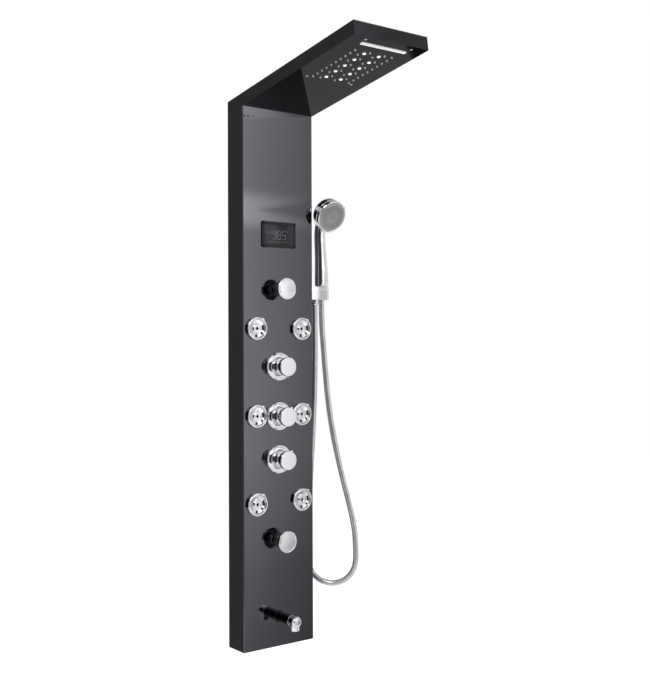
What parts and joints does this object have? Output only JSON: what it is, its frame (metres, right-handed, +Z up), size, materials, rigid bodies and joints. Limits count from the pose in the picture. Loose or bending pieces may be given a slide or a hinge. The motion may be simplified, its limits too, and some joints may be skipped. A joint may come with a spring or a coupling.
{
  "type": "shower panel column",
  "caption": "Wall-hung black steel shower column with a rising rain arm, body jets, swivel jets, knobs, display, spout and a handset on a steel hose.",
  "frame": {"origin": "centre of the four wall screws, on the wall plane", "axes": "+X to the right of someone facing the panel, -Y out of the wall, +Z up along the column"},
  "size_m": [0.315, 0.482, 1.3667],
  "materials": {
    "black_steel": "mirror-like black plating over fine brushing",
    "galvanised_steel": "dull zinc",
    "chrome": "polished",
    "silver_plastic": "satin silver",
    "black_plastic": "gloss",
    "display_glass": "smoked",
    "circuit_board": "sealed board",
    "silicone": "matt",
    "clear_lens": "clear lens",
    "white_nylon": "satin",
    "brass": "machined",
    "copper": "drawn pipe",
    "steel_hose": "spiral-wound stainless steel"
  },
  "bodies": {
    "panel": {"arm_shell": "black_steel", "column_casing": "black_steel", "display_bezel": "black_plastic", "display_module": "circuit_board", "display_window": "display_glass", "diverter_body": "brass", "flow_valve_body": "brass", "handset_pipe": "copper", "hanger_bars": "galvanised_steel", "holder_block": "chrome", "holder_nut": "brass", "hose": "steel_hose", "hose_outlet_nut": "chrome", "jet_back_nuts": "brass", "jet_nozzles": "silver_plastic", "jet_rails": "brass", "knob_flanges": "chrome", "light_lenses": "clear_lens", "light_strips": "circuit_board", "link_pipes": "copper", "lower_jet_pipe": "copper", "mixer_body": "brass", "rain_chamber": "black_plastic", "rain_nozzle_mat": "silicone", "rain_pipe": "copper", "spout_aerator": "black_plastic", "spout_nut": "brass", "spout_pipe": "copper", "spout_tip": "chrome", "spout_tube": "black_steel", "spray_plate": "black_steel", "spray_plate_screws": "chrome", "supply_inlets": "brass", "swivel_jet_bases": "black_plastic", "swivel_jet_nuts": "brass", "upper_jet_pipe": "copper", "valve_cartridges": "brass", "wall_brackets": "galvanised_steel", "water_turbine": "black_plastic", "waterfall_chamber": "black_plastic", "waterfall_lip": "chrome", "waterfall_pipe": "copper"},
    "jet_rim_top_left": {"jet_rim_top_left": "chrome"},
    "jet_rim_top_right": {"jet_rim_top_right": "chrome"},
    "jet_rim_middle_left": {"jet_rim_middle_left": "chrome"},
    "jet_rim_middle_right": {"jet_rim_middle_right": "chrome"},
    "jet_rim_bottom_left": {"jet_rim_bottom_left": "chrome"},
    "jet_rim_bottom_right": {"jet_rim_bottom_right": "chrome"},
    "diverter_knob": {"diverter_knob": "chrome"},
    "temperature_knob": {"temperature_knob": "chrome"},
    "flow_knob": {"flow_knob": "chrome"},
    "upper_jet_seat": {"upper_jet_seat": "white_nylon"},
    "upper_jet_head": {"upper_jet_head": "chrome"},
    "lower_jet_seat": {"lower_jet_seat": "white_nylon"},
    "lower_jet_head": {"lower_jet_head": "chrome"},
    "hose_cone": {"hose_cone_nut": "chrome"},
    "handset": {"handset_body": "chrome", "handset_face": "silver_plastic"},
    "handset_ring": {"handset_ring": "chrome"}
  },
  "joints": [
    {"name": "jet_shutoff_top_left", "type": "hinge", "parent": "panel", "child": "jet_rim_top_left", "pos_m": [-0.064, -0.065, 0.1025], "axis": [0, -1, 0], "range_deg": [0, 90]},
    {"name": "jet_shutoff_top_right", "type": "hinge", "parent": "panel", "child": "jet_rim_top_right", "pos_m": [0.064, -0.065, 0.1025], "axis": [0, -1, 0], "range_deg": [0, 90]},
    {"name": "jet_shutoff_middle_left", "type": "hinge", "parent": "panel", "child": "jet_rim_middle_left", "pos_m": [-0.064, -0.065, -0.1027], "axis": [0, -1, 0], "range_deg": [0, 90]},
    {"name": "jet_shutoff_middle_right", "type": "hinge", "parent": "panel", "child": "jet_rim_middle_right", "pos_m": [0.064, -0.065, -0.1027], "axis": [0, -1, 0], "range_deg": [0, 90]},
    {"name": "jet_shutoff_bottom_left", "type": "hinge", "parent": "panel", "child": "jet_rim_bottom_left", "pos_m": [-0.064, -0.065, -0.3088], "axis": [0, -1, 0], "range_deg": [0, 90]},
    {"name": "jet_shutoff_bottom_right", "type": "hinge", "parent": "panel", "child": "jet_rim_bottom_right", "pos_m": [0.064, -0.065, -0.3088], "axis": [0, -1, 0], "range_deg": [0, 90]},
    {"name": "diverter_turn", "type": "hinge", "parent": "panel", "child": "diverter_knob", "pos_m": [0, -0.065, 0.0126], "axis": [0, -1, 0], "range_deg": [-135, 135]},
    {"name": "temperature_turn", "type": "hinge", "parent": "panel", "child": "temperature_knob", "pos_m": [0, -0.065, -0.1053], "axis": [0, -1, 0], "range_deg": [-90, 150]},
    {"name": "flow_turn", "type": "hinge", "parent": "panel", "child": "flow_knob", "pos_m": [0, -0.065, -0.2075], "axis": [0, -1, 0], "range_deg": [0, 90]},
    {"name": "upper_jet_spin", "type": "hinge", "parent": "panel", "child": "upper_jet_seat", "pos_m": [0, -0.065, 0.196], "axis": [0, -1, 0], "continuous": true},
    {"name": "upper_jet_tilt", "type": "hinge", "parent": "upper_jet_seat", "child": "upper_jet_head", "pos_m": [0, -0.072, 0.196], "axis": [1, 0, 0], "range_deg": [-15, 15]},
    {"name": "lower_jet_spin", "type": "hinge", "parent": "panel", "child": "lower_jet_seat", "pos_m": [0, -0.065, -0.399], "axis": [0, -1, 0], "continuous": true},
    {"name": "lower_jet_tilt", "type": "hinge", "parent": "lower_jet_seat", "child": "lower_jet_head", "pos_m": [0, -0.072, -0.399], "axis": [1, 0, 0], "range_deg": [-15, 15]},
    {"name": "handset_lift", "type": "slide", "parent": "panel", "child": "hose_cone", "axis": [0, 0, 1], "range_m": [0, 0.045]},
    {"name": "handset_turn", "type": "hinge", "parent": "hose_cone", "child": "handset", "pos_m": [0.141, -0.047, 0.211], "axis": [0, 0, 1], "range_deg": [0, 75]},
    {"name": "handset_ring_turn", "type": "hinge", "parent": "handset", "child": "handset_ring", "pos_m": [0.141, -0.093, 0.375], "axis": [0, -0.8988, -0.4384], "range_deg": [0, 60]}
  ]
}
